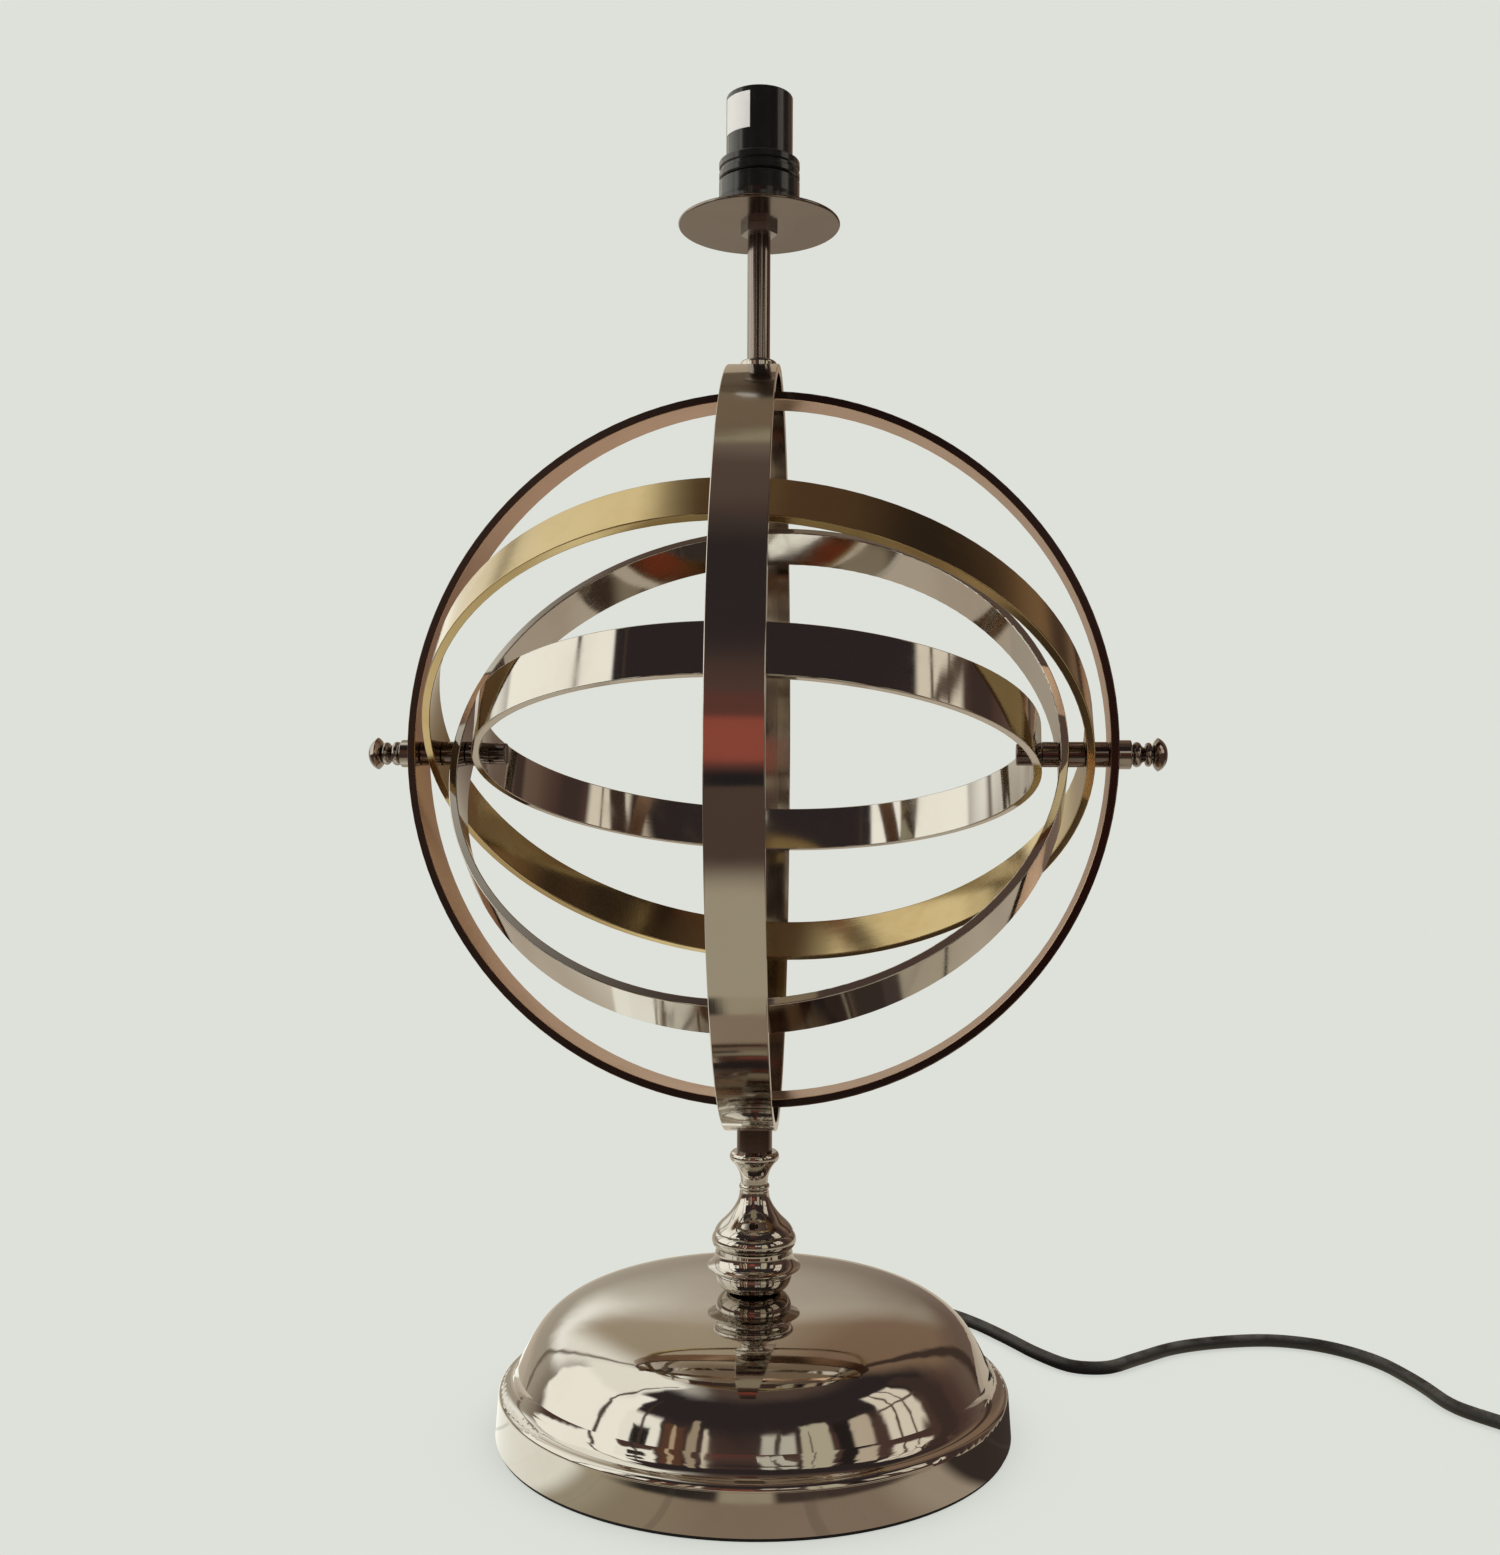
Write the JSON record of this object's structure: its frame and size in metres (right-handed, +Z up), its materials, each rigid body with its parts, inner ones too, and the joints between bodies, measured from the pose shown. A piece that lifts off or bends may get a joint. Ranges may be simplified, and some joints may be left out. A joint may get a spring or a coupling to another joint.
{
  "type": "armillary sphere lamp base",
  "caption": "Armillary sphere on a turned neck and domed base: nested metal bands that turn on shared pivots, with a bayonet lampholder on a stem above.",
  "frame": {"origin": "on the floor, at the centre of the round base", "axes": "+Z up through the neck, stem and lampholder; X along the horizontal axis that the inner rings turn on; -Y towards the front"},
  "size_m": [0.5561, 0.3324, 0.576],
  "materials": {
    "polished_nickel": "polished",
    "dark_bronze": "polished dark bronze",
    "satin_brass": "satin",
    "plain_steel": "satin",
    "turning_washer": "matte",
    "cast_ballast": "cast",
    "black_felt": "felt",
    "black_rubber": "matte",
    "black_gloss": "moulded gloss",
    "insert_plastic": "matte",
    "white_label": "matte",
    "brown_core": "matte",
    "blue_core": "matte"
  },
  "bodies": {
    "stand": {"base_shell": "polished_nickel", "neck_foot": "polished_nickel", "neck_flared_band": "polished_nickel", "neck_vase": "polished_nickel", "neck_bead": "polished_nickel", "neck_cup": "polished_nickel", "outer_ring": "polished_nickel", "wire_cover_strip": "polished_nickel", "stem_foot": "polished_nickel", "stem_tube": "polished_nickel", "gallery_disc": "polished_nickel", "ring_saddle_block": "dark_bronze", "plug_pins": "satin_brass", "neck_tube": "plain_steel", "neck_washer": "plain_steel", "neck_nut": "plain_steel", "gallery_nut": "plain_steel", "pivot_screw_top": "plain_steel", "pivot_screw_bottom": "plain_steel", "contact_spring_left": "plain_steel", "contact_spring_right": "plain_steel", "pivot_washer_top": "turning_washer", "pivot_washer_bottom": "turning_washer", "base_weight": "cast_ballast", "felt_pad": "black_felt", "cable_grommet": "black_rubber", "mains_cable": "black_rubber", "holder_cap": "black_gloss", "shade_ring": "black_gloss", "holder_barrel": "black_gloss", "plug_body": "black_gloss", "holder_insert": "insert_plastic", "holder_label": "white_label", "live_core": "brown_core", "neutral_core": "blue_core"},
    "bronze_axis": {"bronze_ring": "dark_bronze", "axis_spacers_left": "dark_bronze", "axis_spacers_right": "dark_bronze", "pivot_bolt_left": "dark_bronze", "pivot_bolt_right": "dark_bronze", "finial_collar_left": "dark_bronze", "finial_collar_right": "dark_bronze", "finial_left": "dark_bronze", "finial_right": "dark_bronze"},
    "brass": {"brass_ring": "satin_brass"},
    "large_nickel": {"large_nickel_ring": "polished_nickel"},
    "small_nickel": {"small_nickel_ring": "polished_nickel"},
    "plunger_left": {"contact_plunger_left": "satin_brass"},
    "plunger_right": {"contact_plunger_right": "satin_brass"}
  },
  "joints": [
    {"name": "bronze_ring_turn", "type": "hinge", "parent": "stand", "child": "bronze_axis", "pos_m": [0, 0, 0.2915], "axis": [0, 0, 1], "range_deg": [-76, 84]},
    {"name": "brass_ring_turn", "type": "hinge", "parent": "bronze_axis", "child": "brass", "pos_m": [0, 0, 0.2893], "axis": [1, 0, 0], "continuous": true},
    {"name": "large_nickel_ring_turn", "type": "hinge", "parent": "bronze_axis", "child": "large_nickel", "pos_m": [0, 0, 0.2893], "axis": [1, 0, 0], "continuous": true},
    {"name": "small_nickel_ring_turn", "type": "hinge", "parent": "bronze_axis", "child": "small_nickel", "pos_m": [0, 0, 0.2893], "axis": [1, 0, 0], "continuous": true},
    {"name": "contact_left_press", "type": "slide", "parent": "stand", "child": "plunger_left", "axis": [0, 0, -1], "range_m": [0, 0.003], "stiffness_N_per_m": 100, "springref_m": -0.001, "deforming": ["contact_spring_left"]},
    {"name": "contact_right_press", "type": "slide", "parent": "stand", "child": "plunger_right", "axis": [0, 0, -1], "range_m": [0, 0.003], "stiffness_N_per_m": 100, "springref_m": -0.001, "deforming": ["contact_spring_right"]}
  ]
}
